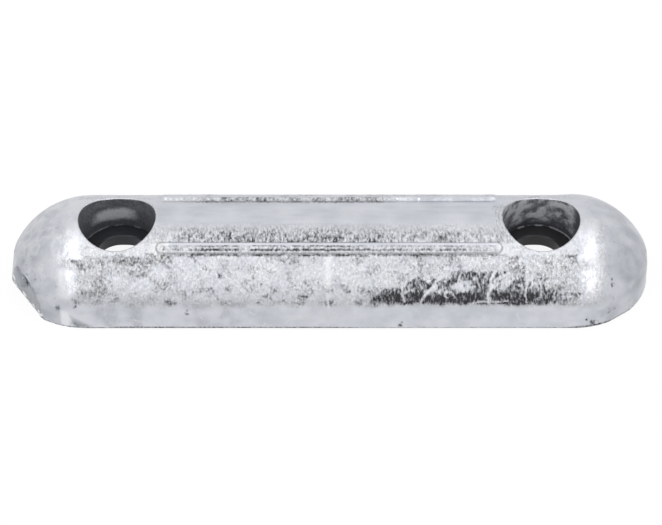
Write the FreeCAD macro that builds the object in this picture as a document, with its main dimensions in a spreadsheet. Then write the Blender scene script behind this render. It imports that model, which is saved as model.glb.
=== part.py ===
import FreeCAD, Part
import math
import os

import Sketcher

# Bolt-on hull anode: a zinc bar with a domed top and half-round ends, cast
# round a flat steel strap. Two counterbored holes let bolt heads clamp the
# strap to the hull. Millimetres; the base lies on Z = 0, the length along X.

SIZES = [
    ("overall_length", 306, "over the half-round ends, at the base"),
    ("overall_width", 77, "across the base"),
    ("overall_height", 36, "base to crown"),
    ("crease_height", 13.8, "top of the plain drafted side band"),
    ("side_draft", 9.5, "degrees that the side band leans inwards"),
    ("well_pitch", 200, "between the middles of the two bolt wells"),
    ("well_radius", 18.2, "counterbore for the bolt head and washer"),
    ("mouth_rounding", 0.6, "where the counterbore meets the dome"),
    ("relief_radius", 20, "shallow well in the underside, at the base"),
    ("relief_draft", 5, "degrees that the underside well opens out"),
    ("rib_end_gap", 0.8, "from each rib's end to the wells, along the bar"),
    ("rib_width", 6, "across the foot, along the dome"),
    ("rib_rise", 1.3, "above the dome"),
    ("rib_root", 1, "sunk below the dome, so that the foot is full"),
    ("rib_offset", 17.4, "from the middle of the bar"),
    ("rib_draft", 25, "degrees that the rib's sides lean inwards"),
    ("rib_rounding", 0.5, "along the rib's top edge"),
    ("gate_depth", 2.8, "cut off the base outline where the metal ran in"),
    ("gate_bearing", 36, "degrees from the length to the front, left end"),
    ("gate_lean", 14, "degrees that the gate cut leans outwards"),
    ("vent_depth", 0.9, "cut off the base outline where the mould vented"),
    ("vent_bearing", 54, "degrees from the length to the front, right end"),
    ("vent_lean", 10, "degrees that the vent cut leans outwards"),
    ("strap_overhang", 26, "flat steel bar, past the middle of each slot"),
    ("strap_width", 45, "wider than the wells, so the zinc grips its edges"),
    ("strap_thickness", 6, "flat bar"),
    ("strap_underside", 7.8, "zinc below the strap"),
    ("slot_pitch", 198, "between the middles of the two bolt slots"),
    ("slot_width", 21.6, "bolt slot, across the bar"),
    ("slot_length", 24.2, "bolt slot, along the bar"),
    ("slot_easing", 0.5, "chamfer at the top of each bolt slot"),
]

doc = FreeCAD.newDocument("hull_anode")
sheet = doc.addObject("Spreadsheet::Sheet", "sizes")
for row, (alias, value, note) in enumerate(SIZES, start=1):
    sheet.set("A%d" % row, alias)
    sheet.set("B%d" % row, str(value))
    sheet.set("C%d" % row, note)
    sheet.setAlias("B%d" % row, alias)
doc.recompute()

# Forms that follow from the sizes, as expressions
CREASE_HALF = "(sizes.overall_width / 2 - sizes.crease_height * tan(sizes.side_draft * 1 deg))"
DOME_RISE = "(sizes.overall_height - sizes.crease_height)"
DOME_RADIUS = "((%s ^ 2 + %s ^ 2) / (2 * %s))" % (CREASE_HALF, DOME_RISE, DOME_RISE)
END_CENTRE = "((sizes.overall_length - sizes.overall_width) / 2)"
BASE_RADIUS = "(sizes.overall_width / 2)"
STRAP_TOP = "(sizes.strap_underside + sizes.strap_thickness)"
STRAP_LENGTH = "(sizes.slot_pitch + 2 * sizes.strap_overhang)"
RIB_LENGTH = "(sizes.well_pitch - 2 * (sizes.well_radius + sizes.rib_end_gap))"

X_AXIS = FreeCAD.Vector(1, 0, 0)
Z_AXIS = FreeCAD.Vector(0, 0, 1)
SAME_PLACE = 1e-4


def size(alias):
    """A cell's value, for a sketch's first outline and for picking edges."""
    return float(getattr(sheet, alias))


def worth(expression):
    """What an expression over the sheet comes to."""
    return float(sheet.evalExpression(expression))


def new_body(name):
    """A body that gives one node its name."""
    body = doc.addObject("PartDesign::Body", name)
    body.Label = name
    return body


def origin_plane(body, role):
    """One of the body's own origin planes."""
    for feature in body.Origin.OriginFeatures:
        if feature.Role == role:
            return feature
    raise ValueError("no origin plane " + role)


def new_sketch(body, name, role):
    """A sketch flat on one of the body's origin planes."""
    sketch = body.newObject("Sketcher::SketchObject", name)
    sketch.AttachmentSupport = [(origin_plane(body, role), "")]
    sketch.MapMode = "FlatFace"
    return sketch


def turn_sketch(sketch, axis, angle):
    """Turn the sketch about one of its own axes, by an expression in degrees."""
    sketch.AttachmentOffset = FreeCAD.Placement(FreeCAD.Vector(), FreeCAD.Rotation(axis, 1))
    sketch.setExpression("AttachmentOffset.Rotation.Angle", angle)


def dimension(sketch, constraint, expression):
    """Add a dimension to the sketch and tie it to the sheet."""
    index = sketch.addConstraint(constraint)
    sketch.setExpression("Constraints[%d]" % index, expression)


def place(across, up):
    """A point in a sketch."""
    return FreeCAD.Vector(across, up, 0)


def arc(centre, radius, start, end):
    """An arc in a sketch, from one angle to another in degrees."""
    circle = Part.Circle(centre, Z_AXIS, radius)
    return Part.ArcOfCircle(circle, math.radians(start), math.radians(end))


def draw_circle(sketch, centre, radius):
    """A full circle on the sketch's own X axis, its centre at an expression."""
    circle = sketch.addGeometry(Part.Circle(place(0, 0), Z_AXIS, size("well_radius")), False)
    sketch.addConstraint(Sketcher.Constraint("PointOnObject", circle, 3, -1))
    dimension(sketch, Sketcher.Constraint("DistanceX", -1, 1, circle, 3, size("well_pitch") / 2), centre)
    dimension(sketch, Sketcher.Constraint("Radius", circle, size("well_radius")), radius)


def draw_polygon(sketch, corners):
    """Straight lines round the corners. Returns the lines."""
    ends = corners[1:] + corners[:1]
    lines = sketch.addGeometry(
        [Part.LineSegment(place(*start), place(*end)) for start, end in zip(corners, ends)], False)
    for line, following in zip(lines, lines[1:] + lines[:1]):
        sketch.addConstraint(Sketcher.Constraint("Coincident", line, 2, following, 1))
    return lines


def draw_slot(sketch, side, length, width):
    """A slot along the sketch's X, sized by expressions: -1 and 1 are the bolt slots, 0 the middle."""
    radius = worth(width) / 2
    reach = worth(length) / 2 - radius
    centre = side * size("slot_pitch") / 2
    right, upper, left, lower = sketch.addGeometry([
        arc(place(centre + reach, 0), radius, -90, 90),
        Part.LineSegment(place(centre + reach, radius), place(centre - reach, radius)),
        arc(place(centre - reach, 0), radius, 90, 270),
        Part.LineSegment(place(centre - reach, -radius), place(centre + reach, -radius)),
    ], False)
    for first, following in ((right, upper), (upper, left), (left, lower), (lower, right)):
        sketch.addConstraint(Sketcher.Constraint("Tangent", first, 2, following, 1))
    sketch.addConstraint(Sketcher.Constraint("Equal", right, left))
    dimension(sketch, Sketcher.Constraint("Radius", right, radius), width + " / 2")
    for end, way in ((left, -1), (right, 1)):
        sketch.addConstraint(Sketcher.Constraint("PointOnObject", end, 3, -1))
        dimension(sketch, Sketcher.Constraint("DistanceX", -1, 1, end, 3, centre + way * reach),
                  "%d * sizes.slot_pitch / 2 + %d * (%s - %s) / 2" % (side, way, length, width))


def pad(body, name, sketch, length, both_ways=False):
    """Raise the sketch's outline, or grow it evenly to both sides."""
    feature = body.newObject("PartDesign::Pad", name)
    feature.Profile = sketch
    feature.SideType = "Symmetric" if both_ways else "One side"
    feature.setExpression("Length", length)
    return feature


def pocket(body, name, sketch, depth, both_ways=False):
    """Cut the sketch's outline upwards from the sketch, or evenly to both sides."""
    feature = body.newObject("PartDesign::Pocket", name)
    feature.Profile = sketch
    feature.SideType = "Symmetric" if both_ways else "One side"
    feature.Reversed = not both_ways
    feature.setExpression("Length", depth)
    return feature


def mirror(body, name, feature, role):
    """The same feature on the other side of an origin plane."""
    copy = body.newObject("PartDesign::Mirrored", name)
    copy.Originals = [feature]
    copy.MirrorPlane = (origin_plane(body, role), [""])
    body.Tip = copy
    return copy


def edges_where(feature, test):
    """Names of the feature's edges whose points all pass the test."""
    doc.recompute()
    names = []
    for number, edge in enumerate(feature.Shape.Edges, start=1):
        if not edge.Degenerated and all(test(spot) for spot in edge.discretize(5)):
            names.append("Edge%d" % number)
    return names


# Zinc casting: the bar, from half its section
casting = new_body("zinc_casting")


def half_section(name):
    """Half the bar's section: base, drafted side band and dome."""
    sketch = new_sketch(casting, name, "YZ_Plane")
    half = size("overall_width") / 2
    crease = size("crease_height")
    crown = size("overall_height")
    shoulder = half - crease * math.tan(math.radians(size("side_draft")))
    radius = (shoulder ** 2 + (crown - crease) ** 2) / (2 * (crown - crease))
    crease_angle = math.degrees(math.acos(shoulder / radius))
    middle, base, side, dome = sketch.addGeometry([
        Part.LineSegment(place(0, crown), place(0, 0)),
        Part.LineSegment(place(0, 0), place(half, 0)),
        Part.LineSegment(place(half, 0), place(shoulder, crease)),
        arc(place(0, crown - radius), radius, crease_angle, 90),
    ], False)
    for first, following in ((middle, base), (base, side), (side, dome), (dome, middle)):
        sketch.addConstraint(Sketcher.Constraint("Coincident", first, 2, following, 1))
    sketch.addConstraint(Sketcher.Constraint("Coincident", middle, 2, -1, 1))
    sketch.addConstraint(Sketcher.Constraint("Vertical", middle))
    sketch.addConstraint(Sketcher.Constraint("Horizontal", base))
    sketch.addConstraint(Sketcher.Constraint("PointOnObject", dome, 3, -2))
    dimension(sketch, Sketcher.Constraint("DistanceX", base, 1, base, 2, half), BASE_RADIUS)
    dimension(sketch, Sketcher.Constraint("DistanceX", -1, 1, side, 2, shoulder), CREASE_HALF)
    dimension(sketch, Sketcher.Constraint("DistanceY", -1, 1, side, 2, crease), "sizes.crease_height")
    dimension(sketch, Sketcher.Constraint("DistanceY", middle, 2, middle, 1, crown), "sizes.overall_height")
    return sketch


half_bar = pad(casting, "half_bar", half_section("bar_section"), "2 * " + END_CENTRE, both_ways=True)
mirror(casting, "whole_bar", half_bar, "XZ_Plane")

end_section = half_section("end_section")
end_section.setExpression("AttachmentOffset.Base.z", END_CENTRE)
right_end = casting.newObject("PartDesign::Revolution", "right_end")
right_end.Profile = end_section
right_end.ReferenceAxis = (end_section, ["V_Axis"])
right_end.Angle = 180
right_end.Reversed = True
mirror(casting, "left_end", right_end, "YZ_Plane")


# Cuts in the base outline, where the gate and the vent were broken off
def outline_cut(name, side, scar):
    """Cut a leaning flat into the end on one side: -1 is left, 1 is right."""
    sketch = new_sketch(casting, name + "_profile", "XZ_Plane")
    turn_sketch(sketch, FreeCAD.Vector(0, -side, 0), "sizes.%s_bearing" % scar)
    sketch.setExpression("AttachmentOffset.Base.x", "%d * %s" % (side, END_CENTRE))
    depth = size(scar + "_depth")
    inner = size("overall_width") / 2 - depth
    reach = 2 * depth
    height = reach / math.tan(math.radians(size(scar + "_lean")))
    foot, outside, slope = draw_polygon(
        sketch, [(side * inner, 0), (side * (inner + reach), 0), (side * (inner + reach), height)])
    sketch.addConstraint(Sketcher.Constraint("PointOnObject", foot, 1, -1))
    sketch.addConstraint(Sketcher.Constraint("Horizontal", foot))
    sketch.addConstraint(Sketcher.Constraint("Vertical", outside))
    dimension(sketch, Sketcher.Constraint("DistanceX", -1, 1, foot, 1, side * inner),
              "%d * (%s - sizes.%s_depth)" % (side, BASE_RADIUS, scar))
    dimension(sketch, Sketcher.Constraint("DistanceX", foot, 1, foot, 2, side * reach),
              "%d * 2 * sizes.%s_depth" % (side, scar))
    dimension(sketch, Sketcher.Constraint("DistanceY", outside, 1, outside, 2, height),
              "2 * sizes.%s_depth / tan(sizes.%s_lean * 1 deg)" % (scar, scar))
    return pocket(casting, name, sketch, "sizes.overall_width", both_ways=True)


outline_cut("gate_cut", -1, "gate")
outline_cut("vent_cut", 1, "vent")

# Two raised ribs, one down each shoulder, left by slots milled in the mould
rib_outline = new_sketch(casting, "rib_outline", "XY_Plane")
turn_sketch(rib_outline, X_AXIS, "asin(sizes.rib_offset / %s)" % DOME_RADIUS)
rib_outline.setExpression("AttachmentOffset.Base.y", "-sizes.rib_offset")
rib_outline.setExpression(
    "AttachmentOffset.Base.z",
    "sizes.overall_height - {0} + sqrt({0} ^ 2 - sizes.rib_offset ^ 2)".format(DOME_RADIUS))
draw_slot(rib_outline, 0, RIB_LENGTH, "sizes.rib_width")
front_rib = pad(casting, "front_rib", rib_outline, "sizes.rib_rise")
front_rib.SideType = "Two sides"
front_rib.setExpression("Length2", "sizes.rib_root")
front_rib.setExpression("TaperAngle", "-sizes.rib_draft")
ribs = mirror(casting, "back_rib", front_rib, "XZ_Plane")

doc.recompute()
rib_frame = rib_outline.getGlobalPlacement()


def on_rib_top(spot):
    """True on the flat top of either rib."""
    on_front_rib = FreeCAD.Vector(spot.x, -abs(spot.y), spot.z)
    above_dome = rib_frame.inverse().multVec(on_front_rib).z
    return abs(above_dome - size("rib_rise")) < SAME_PLACE


rib_edge = casting.newObject("PartDesign::Fillet", "rib_edge")
rib_edge.Base = (ribs, edges_where(ribs, on_rib_top))
rib_edge.setExpression("Radius", "sizes.rib_rounding")

# Wells from above, down to the strap, for the bolt heads and washers
well_outline = new_sketch(casting, "well_outline", "XY_Plane")
well_outline.setExpression("AttachmentOffset.Base.z", STRAP_TOP)
for side in ("-", ""):
    draw_circle(well_outline, side + "sizes.well_pitch / 2", "sizes.well_radius")
wells = pocket(casting, "wells", well_outline, "sizes.overall_height")


def on_mouth(spot):
    """True where a well's wall meets the dome."""
    from_axis = math.hypot(abs(spot.x) - size("well_pitch") / 2, spot.y)
    on_wall = abs(from_axis - size("well_radius")) < SAME_PLACE
    return on_wall and spot.z > size("crease_height")


mouths = casting.newObject("PartDesign::Fillet", "mouths")
mouths.Base = (wells, edges_where(wells, on_mouth))
mouths.setExpression("Radius", "sizes.mouth_rounding")

# Shallow wells from below, left by the pins that held the strap in the mould
relief_outline = new_sketch(casting, "relief_outline", "XY_Plane")
for side in ("-", ""):
    draw_circle(relief_outline, side + "sizes.well_pitch / 2", "sizes.relief_radius")
reliefs = pocket(casting, "reliefs", relief_outline, "sizes.strap_underside")
reliefs.setExpression("TaperAngle", "-sizes.relief_draft")


# The strap and the room that it takes up in the zinc
def strap_outline(body, name):
    """The strap's plan, at the height of its underside."""
    sketch = new_sketch(body, name, "XY_Plane")
    sketch.setExpression("AttachmentOffset.Base.z", "sizes.strap_underside")
    half_length = size("slot_pitch") / 2 + size("strap_overhang")
    half_width = size("strap_width") / 2
    near, right, far, left = draw_polygon(sketch, [
        (-half_length, -half_width), (half_length, -half_width),
        (half_length, half_width), (-half_length, half_width)])
    for line in (near, far):
        sketch.addConstraint(Sketcher.Constraint("Horizontal", line))
    for line in (right, left):
        sketch.addConstraint(Sketcher.Constraint("Vertical", line))
    sketch.addConstraint(Sketcher.Constraint("Symmetric", near, 1, far, 1, -1, 1))
    dimension(sketch, Sketcher.Constraint("DistanceX", near, 1, near, 2, 2 * half_length), STRAP_LENGTH)
    dimension(sketch, Sketcher.Constraint("DistanceY", right, 1, right, 2, 2 * half_width),
              "sizes.strap_width")
    return sketch


pocket(casting, "strap_room", strap_outline(casting, "strap_room_outline"), "sizes.strap_thickness")

strap = new_body("steel_strap")
flat_bar = pad(strap, "flat_bar", strap_outline(strap, "bar_outline"), "sizes.strap_thickness")

slot_outline = new_sketch(strap, "slot_outline", "XY_Plane")
slot_outline.setExpression("AttachmentOffset.Base.z", "sizes.strap_underside")
for side in (-1, 1):
    draw_slot(slot_outline, side, "sizes.slot_length", "sizes.slot_width")
slots = pocket(strap, "slots", slot_outline, "sizes.strap_thickness")


def on_slot_top(spot):
    """True on the upper edge of a bolt slot."""
    strap_top = size("strap_underside") + size("strap_thickness")
    inside = abs(spot.y) <= size("slot_width") / 2 + SAME_PLACE
    near_slot = abs(abs(spot.x) - size("slot_pitch") / 2) <= size("slot_length") / 2 + SAME_PLACE
    return abs(spot.z - strap_top) < SAME_PLACE and inside and near_slot


slot_edge = strap.newObject("PartDesign::Chamfer", "slot_edge")
slot_edge.Base = (slots, edges_where(slots, on_slot_top))
slot_edge.setExpression("Size", "sizes.slot_easing")

# Check every object, then write one file for each body
doc.recompute()
for item in doc.Objects:
    if "Invalid" in item.State or "Error" in item.State:
        raise RuntimeError("%s did not build: %s" % (item.Name, item.State))
os.makedirs("parts", exist_ok=True)
bodies = (casting, strap)
for body in bodies:
    if body.Shape.isNull() or not body.Shape.isValid():
        raise RuntimeError(body.Label + " is not a valid solid")
for body in bodies:
    body.Shape.exportStep("parts/%s.step" % body.Label)
    volume = body.Shape.Volume / 1000
    print("%s: %d solid, %.1f cubic centimetres" % (body.Label, len(body.Shape.Solids), volume))
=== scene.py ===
import itertools
import math

import bmesh
import bpy
import numpy as np
from mathutils import Euler, Matrix, Vector


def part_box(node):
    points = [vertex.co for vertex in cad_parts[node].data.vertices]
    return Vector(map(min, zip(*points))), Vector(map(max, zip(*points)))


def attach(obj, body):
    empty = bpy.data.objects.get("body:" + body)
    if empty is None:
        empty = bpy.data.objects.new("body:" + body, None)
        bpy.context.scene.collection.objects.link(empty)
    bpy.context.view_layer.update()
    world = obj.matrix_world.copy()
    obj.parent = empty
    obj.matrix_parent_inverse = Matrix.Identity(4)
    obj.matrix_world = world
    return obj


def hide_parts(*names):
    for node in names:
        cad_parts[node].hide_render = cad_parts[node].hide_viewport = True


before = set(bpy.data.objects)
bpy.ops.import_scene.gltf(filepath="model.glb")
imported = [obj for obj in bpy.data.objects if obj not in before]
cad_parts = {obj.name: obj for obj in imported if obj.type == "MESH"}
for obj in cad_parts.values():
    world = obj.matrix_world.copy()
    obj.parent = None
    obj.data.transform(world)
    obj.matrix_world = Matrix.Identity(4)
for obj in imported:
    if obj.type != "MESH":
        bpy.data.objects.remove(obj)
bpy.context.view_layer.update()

# Zinc casting: the whole anode is one pour of zinc round its strap, into an iron
# mould. Where the metal met the mould cleanly it is satin; the front shoulder
# chilled early and is hammered, wrinkled and pitted. Lengths are in millimetres.
MM = 0.001
CREASE_HEIGHT = 13.8
SIDE_DRAFT = math.radians(9.5)
WELL_X = 100.0
WELL_RADIUS = 18.2
STRAP_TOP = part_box("steel_strap")[1].z / MM
zinc_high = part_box("zinc_casting")[1]
HALF_WIDTH = zinc_high.y / MM
CROWN = zinc_high.z / MM
END_X = zinc_high.x / MM - HALF_WIDTH
CREASE_HALF = HALF_WIDTH - CREASE_HEIGHT * math.tan(SIDE_DRAFT)
DOME_RISE = CROWN - CREASE_HEIGHT
DOME_RADIUS = (CREASE_HALF ** 2 + DOME_RISE ** 2) / (2 * DOME_RISE)
DOME_CENTRE = CROWN - DOME_RADIUS

# The skin's faces have sides of about the grain, points nearer than a share of it
# are one, and a point lies on a form when it is nearer to it than the snap
GRAIN = 0.5
CORNER_WELD = 0.2
SNAP = 0.12
TRIANGLES = 190000


def even_skin(node, grain, name):
    """An even, closed mesh over a node's surface, welded where points meet on its corners."""
    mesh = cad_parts[node].data.copy()
    weld(mesh, 0.001)
    skin = bpy.data.objects.new(name, mesh)
    bpy.context.scene.collection.objects.link(skin)
    remesh = skin.modifiers.new("even", "REMESH")
    remesh.mode = "VOXEL"
    remesh.voxel_size = grain * MM
    wrap = skin.modifiers.new("wrap", "SHRINKWRAP")
    wrap.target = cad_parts[node]
    settle(skin)
    weld(skin.data, CORNER_WELD * grain)
    return skin


def weld(mesh, gap):
    """Join points that lie closer than the gap, in millimetres."""
    build = bmesh.new()
    build.from_mesh(mesh)
    bmesh.ops.remove_doubles(build, verts=build.verts, dist=gap * MM)
    build.to_mesh(mesh)
    build.free()


def settle(piece):
    """Turn the piece's modifiers into its mesh."""
    graph = bpy.context.evaluated_depsgraph_get()
    mesh = bpy.data.meshes.new_from_object(piece.evaluated_get(graph))
    piece.modifiers.clear()
    piece.data = mesh


PRIMES = (73856093, 19349663, 39916801)
SHIFTS = (17.3, 5.7, 11.9)


def lattice(cells, seed, turns=1):
    """Smooth noise from -1 to 1 over one to three arrays of cells, with finer octaves added."""
    total = np.zeros_like(cells[0])
    weight, share = 0.0, 1.0
    for octave in range(turns):
        floors = [np.floor(cell).astype(np.int64) for cell in cells]
        parts = [cell - whole for cell, whole in zip(cells, floors)]
        fades = [part * part * (3 - 2 * part) for part in parts]
        for corner in itertools.product((0, 1), repeat=len(cells)):
            key = (seed + octave) * 83492791
            near = share
            for whole, fade, step, prime in zip(floors, fades, corner, PRIMES):
                key = key ^ (whole + step) * prime
                near = near * (fade if step else 1 - fade)
            key = ((key ^ (key >> 13)) * 1274126177) & 0x7FFFFFFF
            key = ((key ^ (key >> 15)) * 668265263) & 0x7FFFFFFF
            total += near * (key / 0x3FFFFFFF - 1)
        weight += share
        share *= 0.5
        cells = [cell * 2.03 + shift for cell, shift in zip(cells, SHIFTS)]
    return total / weight


def rise(value, start, end):
    """0 below start, 1 above end, and smooth between."""
    part = np.clip((value - start) / (end - start), 0, 1)
    return part * part * (3 - 2 * part)


def between(value, low, high, soft):
    """1 from low to high, fading out over the soft width on both sides."""
    return rise(value, low - soft, low) * (1 - rise(value, high, high + soft))


casting = even_skin("zinc_casting", GRAIN, "zinc_skin")
mesh = casting.data
count = len(mesh.vertices)
spots = np.empty(count * 3)
mesh.vertices.foreach_get("co", spots)
spots = spots.reshape(-1, 3) / MM
normals = np.empty(count * 3)
mesh.vertices.foreach_get("normal", normals)
normals = normals.reshape(-1, 3)

# True the skin to the round forms, which the CAD mesh gives in flats
x, y, z = spots.T
past_end = np.maximum(np.abs(x) - END_X, 0) * np.sign(x)
radius = np.hypot(past_end, y)
dome_gap = np.hypot(radius, z - DOME_CENTRE) - DOME_RADIUS
side_gap = (radius - HALF_WIDTH + z * math.tan(SIDE_DRAFT)) * math.cos(SIDE_DRAFT)
well_away = np.hypot(np.abs(x) - WELL_X, y)
on_wall = (np.abs(well_away - WELL_RADIUS) < SNAP) & (z > STRAP_TOP - 0.5)
on_dome = (np.abs(dome_gap) < SNAP) & (z > CREASE_HEIGHT) & ~on_wall
on_side = (np.abs(side_gap) < SNAP) & (z < CREASE_HEIGHT) & ~on_wall
scale = DOME_RADIUS / (DOME_RADIUS + dome_gap)
straight_x = x - past_end
for axis, centre in ((0, straight_x), (1, 0), (2, DOME_CENTRE)):
    spots[:, axis] = np.where(on_dome, centre + (spots[:, axis] - centre) * scale, spots[:, axis])
side_scale = (HALF_WIDTH - z * math.tan(SIDE_DRAFT)) / np.maximum(radius, 1)
for axis, centre in ((0, straight_x), (1, 0)):
    spots[:, axis] = np.where(on_side, centre + (spots[:, axis] - centre) * side_scale, spots[:, axis])
well_centre = np.sign(x) * WELL_X
wall_scale = WELL_RADIUS / np.maximum(well_away, 1)
for axis, centre in ((0, well_centre), (1, 0)):
    spots[:, axis] = np.where(on_wall, centre + (spots[:, axis] - centre) * wall_scale, spots[:, axis])

# Round the base edge off evenly
EDGE_ROUND = 0.8
edge_centre = EDGE_ROUND * (1 + math.sin(SIDE_DRAFT)) / math.cos(SIDE_DRAFT)
x, y, z = spots.T
radius = np.hypot(past_end, y)
inward, upward = HALF_WIDTH - radius - edge_centre, z - EDGE_ROUND
reach = np.hypot(inward, upward)
at_edge = (inward < 0) & (upward < EDGE_ROUND * math.sin(SIDE_DRAFT))
at_edge &= (reach > EDGE_ROUND) & (reach < 2 * EDGE_ROUND)
pull = np.where(at_edge, EDGE_ROUND / np.maximum(reach, 0.1), 1)
edge_scale = (HALF_WIDTH - edge_centre - inward * pull) / np.maximum(radius, 1)
edge_x = straight_x + (x - straight_x) * edge_scale
spots = np.stack((edge_x, y * edge_scale, EDGE_ROUND + upward * pull), axis=1)

# Dress the gate back to an upright face, and leave the lug of its neck standing.
# Bearings are in degrees round the end's centre, from the bar's own line.
GATE_BEARING = math.radians(34)
GATE_FACE = 34.8
CUT_REACH = HALF_WIDTH - 6
LUG_BEARING, LUG_HALF_SPAN = 25, 9.5
LUG_HEIGHT, LUG_HALF_HEIGHT = 11.3, 5.2
x, y, z = spots.T
bearing = np.degrees(np.arctan2(-y, -past_end)) * (x < -END_X)
away = -past_end * math.cos(GATE_BEARING) - y * math.sin(GATE_BEARING)
from_lug = np.hypot((bearing - LUG_BEARING) / LUG_HALF_SPAN, (z - LUG_HEIGHT) / LUG_HALF_HEIGHT)
lug = rise(np.clip(1 - from_lug ** 4, 0, 1), 0.0, 0.25) * (x < -END_X) * (radius > CUT_REACH)
push = np.where((x < -END_X) & (y < 0), np.maximum(away - GATE_FACE, 0), 0) * (1 - lug)
spots[:, 0] += push * math.cos(GATE_BEARING)
spots[:, 1] += push * math.sin(GATE_BEARING)

# The outer skin unrolled: x runs along the bar, and down runs over the front from
# the crown, past the rib and the crease, to the base edge at 58.7
RIB_BACK, RIB_FRONT = 15.3, 21.4
CREASE_DOWN = 44.7
x, y, z = spots.T
down = DOME_RADIUS * np.arctan2(radius, z - DOME_CENTRE) * np.where(y > 0, -1, 1)
in_well = (well_away < WELL_RADIUS + 0.05) & (z > STRAP_TOP - 0.3)
on_outside = np.where(z > CREASE_HEIGHT, dome_gap > -0.35, side_gap > -3.2) | (push > 0)
skin = np.where(on_outside & ~in_well, 1.0, 0.0) * rise(z, 0.3, 1.8)
front = skin * (down > 0)
fine = lattice((x / 0.9 + 0.2 * down, down / 1.7), 4, 2)
broad = lattice((x / 6 + 0.15 * down, down / 4.5), 3, 3)


def near_line(points):
    """Distance over the unrolled skin to a line through the points, in millimetres."""
    best = np.full_like(x, 1e3)
    for (x_start, s_start), (x_end, s_end) in zip(points, points[1:]):
        x_run, s_run = x_end - x_start, s_end - s_start
        part = ((x - x_start) * x_run + (down - s_start) * s_run) / (x_run ** 2 + s_run ** 2)
        part = np.clip(part, 0, 1)
        best = np.minimum(best, np.hypot(x - x_start - part * x_run, down - s_start - part * s_run))
    return best


# From here each paragraph adds to what the skin's points hold: their relief in
# millimetres, and from 0 to 1 how dull, bright, stained, streaked or frosted the
# metal is there, for its material to read. Some of these shares also carry painted
# light: shade darkening the ends, the crease and the base edge, a dark reflection
# on the right of the front, and highlights on the shoulders, the rib's end, the
# veins and the left well's wall.

# Whole skin: slow unevenness, a fuller right shoulder and a slight bow along the
# front base edge, with soft clouds of dull and bright on the satin, and painted
# shade that darkens the ends towards their tips
FULLER_BY, BOW_BY, BOW_END = 1.2, 0.5, 125
cloud = lattice((x / 10, y / 7, z / 7), 6, 4)
relief = skin * (0.08 * lattice((x / 12, y / 9, z / 9), 1, 2) + 0.010 * fine)
from_mouth = well_away - WELL_RADIUS
fuller = rise(x, 106, 130) * rise(z, 0, 12) * (1 - 0.5 * rise(z, 24, 34)) * rise(from_mouth, 0, 9)
relief += FULLER_BY * fuller * (on_outside & ~in_well)
bow = BOW_BY * (1 - np.clip(np.abs(x) / BOW_END, 0, 1) ** 2)
relief += front * rise(down, CREASE_DOWN, 51) * bow * rise(z, 0, 1)
tip = rise(np.abs(x), 118, 128)
stain_and_shade = skin * 0.02 * rise(cloud, 0.0, 0.6)
brushed = lattice((x / 16, down / 1.6), 27, 3)
# Painted shade: the ends grow darker towards their tips
dull_and_shade = skin * (0.14 + 0.22 * tip) * rise(cloud, -0.5, 0.6) + skin * 0.32 * rise(np.abs(x), 118, 142)
dull_and_shade += skin * 0.16 * between(down, -12, 14, 2) * rise(brushed, -0.2, 0.6)
wisp = 1 - np.abs(lattice((x / 6, y / 6, z / 6), 25, 4)) * 3
wisps = skin * rise(np.abs(x), 112, 120) * rise(z, 14, 24) * rise(wisp, 0.1, 1.2)
wisps *= np.where(x < 0, 1, 0.35)
fleck = lattice((x / 1.5, y / 1.5, z / 1.5), 28, 2)
stain_and_shade += skin * tip * 0.35 * rise(fleck, 0.45, 0.75)
bright = skin * (0.10 * rise(-cloud, 0.0, 0.5) + 0.25 * wisps)
relief += 0.05 * wisps
frost_and_sheen = skin * 0.25 * rise(-cloud, -0.1, 0.7) + 0.3 * wisps

# Hammered strip between the crown and the front rib, of short upright dashes
STRIP_ENDS = (-88, 84)
strip = front * rise(down, 2.5, 9) * (down < RIB_BACK) * between(x, *STRIP_ENDS, 5)
clump = lattice((x / 7, down / 9), 8, 3)
relief += strip * 0.12 * fine
fullness = np.interp(x, (-88, -66, -45, 20, 45, 84), (0.30, 0.75, 1.05, 1.05, 0.80, 0.40))
streaks_and_reflection = strip * fullness * (0.36 + 0.30 * rise(clump, -0.6, 0.7)) * (0.3 + 0.7 * rise(down, 4, 14))
frost_and_sheen += front * rise(down, 2, 8) * (down < RIB_BACK) * between(x, -90, 86, 5) * 0.45

# Back rib: grey specks along its inner flank
FLANK = (12.6, 15.6)
behind = skin * between(-down, *FLANK, 0.5) * between(x, -80, 22, 12)
stain_and_shade += behind * rise(x, -76, -56) * (0.16 + 0.36 * rise(lattice((x / 3, down / 2), 19, 2), -0.4, 0.4))
frost_and_sheen = np.maximum(frost_and_sheen, behind * 0.5)
relief += behind * 0.08 * fine

# Back slope: satin, with faint mottles of the same kind as the front's
BACK_SLOPE = (17.5, 44)
back_slope = skin * between(-down, *BACK_SLOPE, 1.5) * between(x, -116, 116, 8)
frost_and_sheen += back_slope * 0.35 * rise(lattice((x / 6, down / 4.5), 33, 3), -0.4, 0.5)
stain_and_shade += back_slope * (0.05 + 0.22 * rise(lattice((x / 5, down / 3.5), 34, 4), -0.1, 0.55))
relief += back_slope * (0.08 * broad + 0.03 * fine)

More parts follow.
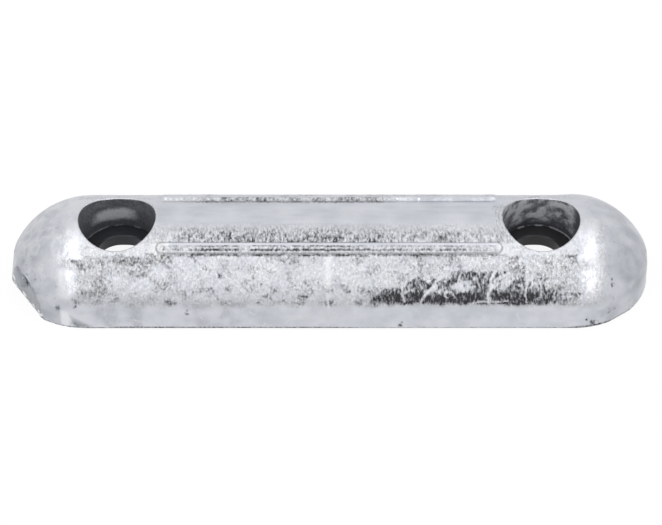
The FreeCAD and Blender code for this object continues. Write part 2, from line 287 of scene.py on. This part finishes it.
# Front rib: a satin strip along its back edge, then three broken seams, each with
# its place down the front, depth, width and darkness; the left end is painted lighter,
# over the shade round the rib's root
RIB_ENDS = (-76.5, 77)
SEAMS = ((17.3, 0.08, 0.28, 0.6), (19.1, 0.22, 0.55, 0.85), (21.3, 0.14, 0.34, 0.65))
rib_run = front * between(x, *RIB_ENDS, 2.5)
heavy = between(x, -58, -42, 4) + between(x, -36, 8, 3)
heavy += 0.45 * between(x, 8, 62, 8) + 0.35 * between(x, -78, -58, 6)
heavy = np.clip(heavy, 0, 1) * (1 - between(x, -41.5, -37, 1.0))
for seam, deep, wide, darkness in SEAMS:
    wander = seam + 0.15 * lattice((x / 5, x * 0 + seam), 9, 2)
    line = rib_run * np.exp(-((down - wander) / wide) ** 2)
    line *= rise(lattice((x / 2.6, x * 0 + seam), 10, 3), -1.0 + 0.7 * (1 - heavy), 0.0)
    relief -= deep * line * (0.3 + 0.7 * heavy)
    stain_and_shade += line * darkness * (0.3 + 0.8 * heavy)
frost_and_sheen += rib_run * between(down, 17.6, 21.8, 0.4) * 0.45
stain_and_shade += rib_run * between(down, 17.4, 21.8, 0.4) * 0.16
# Painted light at the rib's left end, lifting the shade round its root
rib_end_light = front * between(x, -83, -76, 2) * between(down, 14.5, 23, 1.5)
frost_and_sheen = np.maximum(frost_and_sheen, rib_end_light * 0.8)
bright = np.maximum(bright, rib_end_light * 0.8)

# Front slope: wrinkled and frosty, with grey mottles that gather above the crease,
# whose edge is soft and a little ragged
SLOPE_ENDS = (-122, 118)
crease = down + 1.1 * lattice((x / 3.5,), 23, 4)
slope = front * rise(crease, RIB_FRONT - 0.6, RIB_FRONT) * (1 - rise(crease, 43.2, 47.0))
slope *= between(x, *SLOPE_ENDS, 6)
mottle = lattice((x / 4.2 - 0.05 * down, down / 3.4), 12, 4)
relief += slope * (0.12 * broad + 0.06 * fine)
relief -= 0.30 * front * np.exp(-((down - CREASE_DOWN) / 1.3) ** 2)
gather = 0.22 + 0.30 * rise(down, 33, 42) * between(x, -75, 25, 10)
gather += 0.12 * rise(-down, -26, -22) * (x > -78)
stain_and_shade += slope * (0.11 + 0.05 * rise(x, 0, 40) + gather * rise(-mottle, -0.15, 0.50))
frost_and_sheen += slope * (0.22 + 0.40 * rise(broad, -0.4, 0.5))

# Shoulders round the wells: rougher and whiter, with a painted highlight where they
# turn into the ends, and a soft fold on the left
left_shoulder = front * between(x, -124, -80, 5) * between(down, 9, 25, 4)
right_shoulder = front * between(x, 82, 126, 5) * between(down, 7, 44, 3)
shoulders = np.maximum(left_shoulder, right_shoulder)
relief += shoulders * (0.06 * fine + 0.05 * broad)
frost_and_sheen = np.maximum(frost_and_sheen, shoulders * (0.35 + 0.5 * rise(broad, -0.3, 0.4)))
# Where the end strips are reflected, frost and oxide specks are cleared, which lightens the colour there
highlight_zone = front * between(np.abs(x), 117, 125, 2.5) * (between(down, 11, 23, 2) + between(down, 30, 43, 2))
frost_and_sheen *= 1 - 0.9 * highlight_zone * rise(broad, -0.6, 0.2)
stain_and_shade *= 1 - 0.9 * highlight_zone
# Painted highlight on each shoulder where it turns into the end
highlight_left = 0.45 * between(down, 31, 41, 3)
highlight_right = 0.3 * between(down, 7, 15, 4) + 0.15 * between(down, 15, 35, 4)
highlight_right += 0.6 * between(down, 35, 42, 3)
highlight = np.where(x < 0, highlight_left, highlight_right)
highlight *= front * between(np.abs(x), 121.5, 125.5, 3)
bright = np.maximum(bright, highlight * (0.6 + 0.4 * rise(broad, -0.5, 0.4)))
stain_and_shade += shoulders * (0.05 + 0.12 * rise(-mottle, -0.2, 0.5)) * rise(down, 9, 18)
FOLD_DOWN = 24.4
wander = FOLD_DOWN + 0.3 * lattice((x / 8,), 20, 2)
fold = front * np.exp(-((down - wander) / 0.7) ** 2) * between(x, -119, -84, 4)
stain_and_shade += 0.13 * fold
relief -= 0.08 * fold

# Left shoulder: coarse teardrop hammering below the fold
tear = lattice((x / 0.95 - 0.2 * down, down / 1.7), 16, 2)
corner = front * between(x, -117, -105, 2.5) * between(down, 25, 41, 1.5)
corner = np.maximum(corner, front * between(x, -117, -85, 3) * between(down, 25, 31, 2.5) * 0.75)
relief += corner * 0.16 * tear
streaks_and_reflection += corner * (0.10 + 0.36 * rise(-tear, -0.1, 0.5))
frost_and_sheen = np.maximum(frost_and_sheen, corner * rise(tear, -0.3, 0.3))

# Dark band: on the right, just above the crease, a dark reflection is painted into the
# colour as streaks. Its ragged upper edge is given along the bar, as distances from the
# crown.
BAND_ENDS = (21, 110)
BAND_X = (20, 27, 34, 38, 43, 52, 58, 68, 78, 92, 102, 112)
BAND_TOP = (39, 36.5, 34.5, 31.5, 30, 31.5, 28.5, 29.5, 28.5, 30, 35.5, 40)
band_top = np.interp(x, BAND_X, BAND_TOP) + 1.8 * lattice((x / 2.2,), 13, 3)
streak = lattice((x / 0.9 + 0.12 * down, down / 4.0), 14, 3)
flow_cloud = lattice((x / 4.5 + 0.25 * down, down / 3.5), 15, 3)
# The painted dark reflection, lighter where the flow cloud runs through it and darker low down
painted_dark_band = front * between(x, *BAND_ENDS, 3) * rise(down, band_top - 0.8, band_top + 1.2)
painted_dark_band *= 1 - rise(crease, 43.6, 45.6)
low = rise(down, 37.5, 40.5)
bright_part = rise(flow_cloud + 0.35 * streak, -0.05, 0.35) * (1 - 0.8 * low)
fade = 1 - 0.45 * rise(x, 98, 110)
shade = painted_dark_band * fade * (1 - 0.80 * bright_part) * (0.80 + 0.22 * low + 0.20 * streak)
relief += painted_dark_band * 0.10 * streak
frost_and_sheen *= 1 - 0.8 * painted_dark_band * (1 - bright_part)
stain_and_shade *= 1 - painted_dark_band
streaks_and_reflection = np.maximum(streaks_and_reflection, shade)

# Cold laps: thin raised veins where two flows of zinc met, each with its width and
# its points along the bar and down the front. They break the painted dark band, and
# their ridges are painted lighter as highlights.
VEINS = (
    (0.45, ((32.2, 34.0), (33.9, 36.3), (34.2, 40.0), (35.2, 43.2))),
    (0.40, ((42.6, 43.9), (44.0, 41.0), (47.4, 37.7), (49.5, 34.0), (53.5, 31.0))),
    (0.55, ((77.5, 29.0), (75.2, 33.0), (75.4, 37.0), (73.9, 40.0), (74.6, 44.4))),
    (0.35, ((55.5, 41.5), (53.5, 40.5), (54.0, 38.8), (57.0, 38.6), (58.5, 41.0))),
    (0.35, ((66.0, 44.3), (70.0, 43.2), (76.0, 43.6), (83.0, 43.0))),
    (0.30, ((91.5, 31.5), (92.3, 35.0), (91.2, 39.0), (92.0, 43.5))),
    (0.30, ((61.0, 30.5), (60.0, 34.0), (61.5, 37.5))),
    (0.30, ((97.5, 33.5), (99.0, 37.0), (98.0, 41.0))),
)
for wide, vein in VEINS:
    # The relief is raised; the lighter colour on the ridge is a painted highlight
    ridge = front * np.exp(-(near_line(vein) / wide / 1.25) ** 2) * rise(fine, -1.0, -0.3)
    relief += 0.5 * wide * ridge
    streaks_and_reflection *= 1 - ridge
    frost_and_sheen = np.maximum(frost_and_sheen, ridge)
    bright = np.maximum(bright, 0.5 * ridge)

# Flow line down the middle, where the metal from both ends closed
FLOW_X = -0.4
flow_wide = 1.0 * (1 - rise(down, 36, 47.5)) + 0.25
flow = front * np.exp(-((x - FLOW_X) / flow_wide) ** 2) * between(down, 22.5, 46.5, 1.5)
thin_flow = 0.4 * front * np.exp(-((x - FLOW_X - 0.4) / 0.3) ** 2) * between(down, 46, 57, 1)
flow = np.maximum(flow, thin_flow) * rise(broad, -0.9, 0.0)
relief += 0.16 * flow
stain_and_shade *= 1 - 0.9 * flow
frost_and_sheen = np.maximum(frost_and_sheen, 0.8 * flow)
bright = np.maximum(bright, 0.65 * flow)

# Pits left by gas and grit: along the bar, down the front, across and deep
PITS = (
    (-50.3, 31.1, 1.1, 0.6), (-51.5, 30.2, 0.7, 0.4), (-31.7, 34.9, 0.6, 0.3), (-66.4, 50.0, 0.6, 0.4),
    (-66.2, 48.2, 0.4, 0.3), (33.3, 56.6, 0.8, 0.5), (34.0, 54.8, 0.4, 0.3), (-126.8, 48.3, 0.8, 0.6),
    (-117.9, 43.5, 1.1, 0.5), (-118.4, 46.0, 0.6, 0.4), (114.4, 40.0, 0.9, 0.4), (116.5, 39.4, 0.7, 0.3),
    (123.4, 55.7, 1.1, 0.6), (120.5, 53.5, 0.5, 0.3), (130.8, 51.6, 0.5, 0.4), (131.6, 38.3, 0.5, 0.4),
    (131.4, 36.0, 0.4, 0.3), (52.0, 12.0, 0.8, 0.2), (54.5, 12.6, 0.9, 0.2),
)
for pit_x, pit_s, wide, deep in PITS:
    ragged = np.hypot(x - pit_x, (down - pit_s) * 0.8) * (1 + 0.45 * fine)
    hollow = front * np.exp(-(ragged / wide) ** 2)
    relief -= deep * hollow
    stain_and_shade = np.maximum(stain_and_shade, np.clip(hollow * 1.3, 0, 1) * 0.8)

# Well mouths: a frosted rim, brightened by painted glints, beads of zinc at the left
# one's back edge, and ripples of slow metal beside the right one
rim = skin * np.exp(-((from_mouth - 0.6) / 0.6) ** 2)
beads = rim * (x < 0) * (y > 4) * rise(lattice((x / 1.1, y / 1.1), 24, 2), -0.1, 0.3)
relief += 0.2 * beads + 0.06 * rim * fine
frost_and_sheen = np.maximum(frost_and_sheen, 0.5 * rim + 0.6 * beads)
ripple_zone = skin * between(x, 78.5, 84.5, 1.5) * between(down, -9, 13, 3) * (from_mouth > 0)
ripple = np.sin(from_mouth * 4.2 + 1.5 * broad)
relief += 0.10 * ripple_zone * ripple
stain_and_shade += 0.28 * ripple_zone * rise(ripple, 0.1, 0.9)

# Scratches: short bright strokes
SCRATCHES = (
    ((-62.8, 40.6), (-56.5, 40.9)), ((-17.5, 53.2), (-13.6, 50.8)), ((-41.0, 55.2), (-38.6, 53.8)),
    ((-86.0, 33.0), (-82.0, 29.5)), ((12.0, 48.8), (16.5, 50.2)), ((66.5, 27.4), (71.0, 25.9)),
    ((102.0, 21.0), (106.5, 24.5)), ((88.0, 50.0), (89.2, 54.0)), ((-20.6, 54.9), (-19.0, 53.5)),
    ((-31.4, 56.8), (-30.0, 55.2)), ((73.3, 50.0), (72.2, 51.6)), ((53.4, 52.6), (56.2, 54.4)),
    ((-37.4, 48.4), (-34.8, 50.2)), ((-91.5, 53.2), (-84.8, 55.4)), ((-60.8, 51.3), (-58.6, 52.8)),
)
for scratch in SCRATCHES:
    stroke = front * np.exp(-(near_line(scratch) / 0.3) ** 2)
    relief -= 0.08 * stroke
    frost_and_sheen = np.maximum(frost_and_sheen, stroke)
    bright = np.maximum(bright, 0.7 * stroke)

# Side band: a few grey marks, painted shade just under the crease, a sunk facet
# coloured darker and a painted highlight strip at the left, and a painted contact
# shadow as a dark line where the band meets the base
FACET_X, FACET_DOWN, FACET_SLANT = -121.5, 50.5, 0.6
side = skin * (down > CREASE_DOWN)
patch = lattice((x / 6, down / 4.5), 21, 4)
stain_and_shade += side * between(x, -112, -40, 12) * 0.06 * rise(patch, -0.1, 0.5)
dull_and_shade += side * (0.15 + 0.12 * between(x, -112, -40, 12)) * rise(patch, -0.2, 0.5)
# Painted shade: darker just under the crease
dull_and_shade += side * 0.10 * rise(-down, -48, -45)
bright = np.maximum(bright, side * (0.06 + 0.12 * rise(-patch, 0.0, 0.5)))
# A sunk facet, coloured darker
facet_edge = down - FACET_DOWN - FACET_SLANT * (x - FACET_X)
facet = side * rise(facet_edge, 0, 1.2) * rise(x, -122.6, -121.2) * (0.35 + 0.65 * rise(-x, 111, 119))
facet *= 0.55 + 0.45 * rise(down, 52, 57)
dull_and_shade += facet
stain_and_shade += 0.22 * facet * rise(down, 52, 58)
relief -= 0.3 * side * rise(facet_edge, 0, 3) * rise(x, -123, -121) * (1 - rise(x, -113, -108))
# Painted highlight: a bright strip low on the left end
painted_gleam = side * rise(x, -126.6, -125.0) * (1 - rise(x + 0.25 * (50 - down), -123.0, -120.6))
painted_gleam *= rise(down, 47, 51)
bright = np.maximum(bright, 0.5 * painted_gleam)
dull_and_shade *= 1 - 0.8 * painted_gleam
# Painted contact shadow: a dark line along the base edge
contact_shade_top = 0.5 + 0.7 * between(x, 116, 140, 4) + 0.5 * between(x, -95, 5, 12)
contact_shade = np.where(on_outside, 1.0, 0.0) * (1 - rise(z, contact_shade_top, contact_shade_top + 0.7))
stain_and_shade += contact_shade * 0.75

# Gate and vent scars: grey faces where the metal was broken off and dressed; on
# the lug a crack shows at the root, and beads of zinc hang on the lower edge
CRACK_BEARING = 35.5
scar = (side_gap < -0.2) & (z < CREASE_HEIGHT) | (push > 0.05)
scar &= (z > 0.15) & (radius > CUT_REACH) & ~in_well
gate = np.where(scar & (x < 0), 1.0, 0.0)
relief += scar * (0.12 * broad + 0.06 * fine)
dull_and_shade = np.where(scar, 0.9 + 0.1 * np.clip(broad, -1, 1) - 0.5 * rise(x, -136, -130) * (x < 0), dull_and_shade)
bright *= 1 - gate
stain_and_shade = np.where(scar, 0.10, stain_and_shade)
relief += 0.35 * lug
dull_and_shade += 0.9 * lug
crack = (x < -END_X) * np.exp(-((bearing - CRACK_BEARING) / 0.9) ** 2) * between(z, 10, 15, 1.0) * (down > 0)
stain_and_shade += 0.6 * crack
relief -= 0.3 * crack
bead = gate * between(z, 0.3, 2.5, 1.2) * rise(fine, -0.1, 0.3)
bead += lug * between(z, 6.5, 9, 1) * rise(fine, 0.1, 0.4)
relief += 0.4 * bead
bright = np.maximum(bright, bead)
dull_and_shade *= 1 - bead

# Bolt wells: a dull wash on the walls, darkest at the rim; on the right zinc has
# smeared over it, and a ragged flash runs round both just above the strap. Across
# the middle of the left wall a paler band is a painted highlight.
wash = np.where(in_well, 1.0, 0.0)
around = np.arctan2(y, np.abs(x) - WELL_X) * WELL_RADIUS
smear = lattice((around / 4.0 + z * 0.10, z / 3.0), 17, 5)
left_wall, right_wall = wash * (x < 0), wash * (x > 0)
smeared = right_wall * rise(z, 15, 20) * between(around, 12, 50, 9)
relief += smeared * 0.25 * smear
pale = left_wall * (0.08 + 0.10 * rise(smear, -0.4, 0.5) * rise(z, 22, 27))
# Painted highlight: a paler band across the middle of the left wall
pale += left_wall * between(z + 0.8 * smear, 20.5, 23.0, 3.5) * between(around + 2 * smear, 20, 29, 10)
pale += smeared * (0.10 + 1.1 * rise(smear + 0.2 * fine, -0.5, 0.65))
flash = wash * (1 - rise(z, STRAP_TOP + 0.45, STRAP_TOP + 0.75))
flash *= rise(lattice((around / 3,), 18, 3), -0.5, 0.2)
relief += flash * 0.35
frost_and_sheen = np.where(in_well, pale + 0.45 * flash, frost_and_sheen)
stain_and_shade = np.where(in_well, 0, stain_and_shade)

spots += normals * relief[:, None]
mesh.vertices.foreach_set("co", (spots * MM).ravel())
for name, values in (("dull_and_shade", dull_and_shade), ("bright", bright), ("stain_and_shade", stain_and_shade), ("streaks_and_reflection", streaks_and_reflection),
                     ("frost_and_sheen", frost_and_sheen), ("wash", wash)):
    layer = mesh.attributes.new(name, "FLOAT", "POINT")
    layer.data.foreach_set("value", np.clip(values, 0, 1).astype(np.float32))
mesh.update()

# Keep the grain on the rough front and the well walls, and thin out the plain parts
plain = np.where(z < 0.3, 1.0, np.where(down > 3, 0.05, 0.35))
plain = np.where((well_away < WELL_RADIUS + 1.5) & (z > STRAP_TOP - 0.5), 0.0, plain)
loose = casting.vertex_groups.new(name="loose")
for share in np.unique(plain):
    loose.add(np.flatnonzero(plain == share).tolist(), float(share), "REPLACE")
thin = casting.modifiers.new("thin", "DECIMATE")
thin.vertex_group = "loose"
thin.vertex_group_factor = 1.0
mesh.calc_loop_triangles()
thin.ratio = min(1, TRIANGLES / len(mesh.loop_triangles))
settle(casting)
casting.data.polygons.foreach_set("use_smooth", [True] * len(casting.data.polygons))
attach(casting, "root")
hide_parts("zinc_casting")


def linear(code):
    """A colour written as an sRGB hex, as the linear colour that a shader takes."""
    values = [int(code[place:place + 2], 16) / 255 for place in (0, 2, 4)]
    bent = [v / 12.92 if v <= 0.04045 else ((v + 0.055) / 1.055) ** 2.4 for v in values]
    return (*bent, 1)


def add(tree, kind, settings=None, **links):
    """Add a node with its settings, and link or fill its inputs by name, or as i and a number."""
    node = tree.nodes.new(kind)
    for key, value in (settings or {}).items():
        setattr(node, key, value)
    for key, value in links.items():
        by_number = key[0] == "i" and key[1:].isdigit()
        socket = node.inputs[int(key[1:]) if by_number else key.replace("_", " ")]
        if isinstance(value, bpy.types.Node):
            value = value.outputs[0]
        if isinstance(value, bpy.types.NodeSocket):
            tree.links.new(value, socket)
        else:
            socket.default_value = value
    return node


def new_material(name):
    """An empty material, and its tree of nodes."""
    material = bpy.data.materials.new(name)
    material.use_nodes = True
    material.node_tree.nodes.clear()
    return material, material.node_tree


# Cast zinc: a blue-grey metal, satin from the mould and white where it froze rough,
# with bright specks painted on the rough metal as glints. Grey oxide sits in its
# hollows, and the well walls keep the mould's dark wash.
zinc, tree = new_material("cast_zinc")
SATIN, SATIN_DULL, BRIGHT_AND_HIGHLIGHT = linear("d2d4dc"), linear("c4c7ce"), linear("f3f4f6")
DULL_AND_SHADE, FROSTED, PAINTED_GLINT, OXIDE_AND_SHADE = linear("93979d"), linear("c4c5c8"), linear("f2f2f2"), linear("39393b")
WASH, WASH_PALE_AND_SHEEN = linear("484a4f"), linear("c4c6ca")
ROUGHNESS, FROST_ROUGHNESS, WASH_ROUGHNESS = 0.33, 0.45, 0.25
WASH_COVER = 0.8
BUMP_DEPTH, BUMP_SATIN, BUMP_ROUGH = 0.3, 0.10, 0.65
GLINTS_FROM, GLINTS_TO = 0.54, 0.68
COLOURS = {"data_type": "RGBA"}
TIMES_PLUS = {"operation": "MULTIPLY_ADD"}

# Grains: how many to a millimetre, how far they are drawn out down the slope, and
# their detail. Real frost is finer; this is as fine as the picture can show.
GRAINS = {
    "dashes": (1.0, 2.2, 4.0),
    "specks": (0.95, 1.4, 4.0),
    "grit": (1.5, 1.2, 2.0),
    "tone": (0.12, 1.0, 3.0),
}
position = add(tree, "ShaderNodeTexCoord").outputs["Object"]
grain = {}
for name, (per_mm, stretch, detail) in GRAINS.items():
    drawn = add(tree, "ShaderNodeMapping", Vector=position, Scale=(1, 1 / stretch, 1 / stretch))
    grain[name] = add(tree, "ShaderNodeTexNoise", Vector=drawn, Scale=per_mm / MM, Detail=detail,
                      Roughness=0.6)

# What the mesh holds of each finish
measure = {}
for name in ("dull_and_shade", "bright", "frost_and_sheen", "stain_and_shade", "streaks_and_reflection", "wash"):
    measure[name] = add(tree, "ShaderNodeAttribute", {"attribute_name": name}).outputs["Fac"]


def grained(share, specks, contrast):
    """A share from 0 to 1, broken up by the specks."""
    centred = add(tree, "ShaderNodeMath", TIMES_PLUS, i0=specks, i1=contrast, i2=-contrast / 2)
    room = add(tree, "ShaderNodeMath", {"operation": "SUBTRACT"}, i0=1.2, i1=share)
    gain = add(tree, "ShaderNodeMath", TIMES_PLUS, i0=centred, i1=room, i2=1.0)
    return add(tree, "ShaderNodeMath", {"operation": "MULTIPLY", "use_clamp": True}, i0=share, i1=gain)


frosted_and_sheen = grained(measure["frost_and_sheen"], grain["grit"], 4.0)
stained_and_shaded = grained(measure["stain_and_shade"], grain["specks"], 8.0)
streaked_and_reflection = grained(measure["streaks_and_reflection"], grain["dashes"], 9.0)
# Painted glints: bright specks laid into the colour where the metal is frosted
glint_grains = add(tree, "ShaderNodeMapRange", Value=grain["grit"], From_Min=GLINTS_FROM,
              From_Max=GLINTS_TO)
painted_glints = add(tree, "ShaderNodeMath", {"operation": "MULTIPLY"}, i0=glint_grains, i1=measure["frost_and_sheen"])
wash_colour = add(tree, "ShaderNodeMix", COLOURS, i0=frosted_and_sheen, i6=WASH, i7=WASH_PALE_AND_SHEEN).outputs[2]

# Each finish lies over those before it, as far as its share covers them
FINISHES = (
    (grain["tone"], SATIN_DULL),
    # The oxide layers also paint shade and a dark reflection; the bright layer also paints highlights
    (measure["dull_and_shade"], DULL_AND_SHADE),
    (measure["bright"], BRIGHT_AND_HIGHLIGHT),
    (frosted_and_sheen, FROSTED),
    (painted_glints, PAINTED_GLINT),
    (stained_and_shaded, OXIDE_AND_SHADE),
    (streaked_and_reflection, OXIDE_AND_SHADE),
    (measure["wash"], wash_colour),
)
colour = SATIN
for share, finish in FINISHES:
    colour = add(tree, "ShaderNodeMix", COLOURS, i0=share, i6=colour, i7=finish).outputs[2]

bare_rough = add(tree, "ShaderNodeMapRange", Value=frosted_and_sheen, To_Min=ROUGHNESS, To_Max=FROST_ROUGHNESS)
rough = add(tree, "ShaderNodeMath", TIMES_PLUS, i0=measure["wash"], i1=WASH_ROUGHNESS, i2=bare_rough)
metal = add(tree, "ShaderNodeMath", TIMES_PLUS, i0=measure["wash"], i1=-WASH_COVER, i2=1.0)
broken = add(tree, "ShaderNodeMath", {"operation": "ADD", "use_clamp": True}, i0=measure["frost_and_sheen"],
             i1=measure["streaks_and_reflection"])
strength = add(tree, "ShaderNodeMath", TIMES_PLUS, i0=broken, i1=BUMP_ROUGH, i2=BUMP_SATIN)
height = add(tree, "ShaderNodeMath", {"operation": "ADD"}, i0=grain["grit"], i1=grain["dashes"])
bump = add(tree, "ShaderNodeBump", Height=height, Strength=strength, Distance=BUMP_DEPTH * MM)
surface = add(tree, "ShaderNodeBsdfPrincipled", Base_Color=colour, Metallic=metal, Roughness=rough,
              Normal=bump)
add(tree, "ShaderNodeOutputMaterial", Surface=surface)
casting.data.materials.clear()
casting.data.materials.append(zinc)

# Steel strap: hot-rolled flat bar that the zinc is cast round. Its mill scale, a
# blue-black iron oxide with a low sheen, shows at the bottom of both wells, round
# an oblong bolt slot; it is a shade browner in the right one.
SCALE_BLUE, SCALE_BROWN, SCALE_DARK = linear("393c40"), linear("343435"), linear("2b2b2e")
SCALE_PER_MM = 0.5
black, tree = new_material("mill_scale_steel")
position = add(tree, "ShaderNodeTexCoord").outputs["Object"]
along = add(tree, "ShaderNodeSeparateXYZ", Vector=position)
browning = add(tree, "ShaderNodeMapRange", Value=along, From_Min=-20 * MM, From_Max=20 * MM)
scale_colour = add(tree, "ShaderNodeMix", COLOURS, i0=browning, i6=SCALE_BLUE, i7=SCALE_BROWN).outputs[2]
patches = add(tree, "ShaderNodeTexNoise", Vector=position, Scale=SCALE_PER_MM / MM, Detail=3.0,
              Roughness=0.6)
scale_colour = add(tree, "ShaderNodeMix", COLOURS, i0=patches, i6=scale_colour, i7=SCALE_DARK).outputs[2]
surface = add(tree, "ShaderNodeBsdfPrincipled", Base_Color=scale_colour, Metallic=0.4, Roughness=0.42)
add(tree, "ShaderNodeOutputMaterial", Surface=surface)
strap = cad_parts["steel_strap"]
strap.data.materials.clear()
strap.data.materials.append(black)

# Floor, studio light and camera: a white floor that keeps the part's soft shadow,
# one large softbox overhead, and a strip lamp at each end that draws the bright
# line down the shoulder.
FLOOR_SIZE = 6.0
FLOOR_COLOUR = linear("fbfbfb")
SHADOW_SHARE = 0.08
WHITE = (1, 1, 1, 1)
EITHER = {"operation": "MAXIMUM"}
floor_mesh = bpy.data.meshes.new("floor")
build = bmesh.new()
bmesh.ops.create_grid(build, x_segments=1, y_segments=1, size=FLOOR_SIZE / 2)
build.to_mesh(floor_mesh)
build.free()
floor = bpy.data.objects.new("floor", floor_mesh)
bpy.context.scene.collection.objects.link(floor)
pale, tree = new_material("pale_floor")
matt = add(tree, "ShaderNodeBsdfDiffuse", Color=FLOOR_COLOUR)
white = add(tree, "ShaderNodeEmission", Color=WHITE, Strength=1.0)
rays = add(tree, "ShaderNodeLightPath").outputs
seen = add(tree, "ShaderNodeMath", EITHER, i0=rays["Is Camera Ray"], i1=rays["Is Glossy Ray"])
cover = add(tree, "ShaderNodeMath", {"operation": "MULTIPLY"}, i0=seen, i1=1 - SHADOW_SHARE)
surface = add(tree, "ShaderNodeMixShader", i0=cover, i1=matt, i2=white)
add(tree, "ShaderNodeOutputMaterial", Surface=surface)
floor_mesh.materials.append(pale)

FILL_STRENGTH = 0.85
world = bpy.data.worlds.new("studio")
bpy.context.scene.world = world
world.use_nodes = True
tree = world.node_tree
tree.nodes.clear()
rays = add(tree, "ShaderNodeLightPath").outputs
seen = add(tree, "ShaderNodeMath", EITHER, i0=rays["Is Camera Ray"], i1=rays["Is Glossy Ray"])
seen = add(tree, "ShaderNodeMath", EITHER, i0=seen, i1=rays["Is Transmission Ray"])
fill = add(tree, "ShaderNodeBackground", Color=WHITE, Strength=FILL_STRENGTH)
backdrop = add(tree, "ShaderNodeBackground", Color=WHITE, Strength=1.0)
mixed = add(tree, "ShaderNodeMixShader", i0=seen, i1=fill, i2=backdrop)
add(tree, "ShaderNodeOutputWorld", Surface=mixed)


def softbox(name, place, along, wide, long, power):
    """A rectangular lamp at a place in metres, facing the part, its long side along a direction."""
    lamp = bpy.data.lights.new(name, "AREA")
    lamp.shape = "RECTANGLE"
    lamp.size = wide
    lamp.size_y = long
    lamp.energy = power
    box = bpy.data.objects.new(name, lamp)
    box.location = place
    back = Vector(place).normalized()
    across = Vector(along).cross(back).normalized()
    box.rotation_euler = Matrix((across, back.cross(across), back)).transposed().to_euler()
    bpy.context.scene.collection.objects.link(box)


softbox("overhead", place=(0, 0.1, 1.6), along=(1, 0, 0), wide=1.6, long=2.4, power=0.6)
for name, side in (("left_strip", -1), ("right_strip", 1)):
    softbox(name, place=(side * 0.48, -0.36, 0.96), along=(0, -1.04, -0.345), wide=0.15, long=1.8,
            power=3.2)

CAMERA_DISTANCE = 1.0
CAMERA_HEIGHT_ANGLE = math.radians(44)
FOCAL_PIXELS = 2070
PICTURE_WIDTH = 662
SHIFT_RIGHT_PIXELS, SHIFT_UP_PIXELS = 1.9, 9.5
SENSOR = 36
camera_data = bpy.data.cameras.new("camera")
camera_data.sensor_width = SENSOR
camera_data.lens = FOCAL_PIXELS / PICTURE_WIDTH * SENSOR
camera_data.shift_x = SHIFT_RIGHT_PIXELS / PICTURE_WIDTH
camera_data.shift_y = SHIFT_UP_PIXELS / PICTURE_WIDTH
camera = bpy.data.objects.new("camera", camera_data)
towards_camera = Vector((0, -math.cos(CAMERA_HEIGHT_ANGLE), math.sin(CAMERA_HEIGHT_ANGLE)))
camera.location = CAMERA_DISTANCE * towards_camera
camera.rotation_euler = Euler((math.pi / 2 - CAMERA_HEIGHT_ANGLE, 0, 0))
bpy.context.scene.collection.objects.link(camera)
bpy.context.scene.camera = camera
bpy.context.scene.view_settings.view_transform = "Standard"
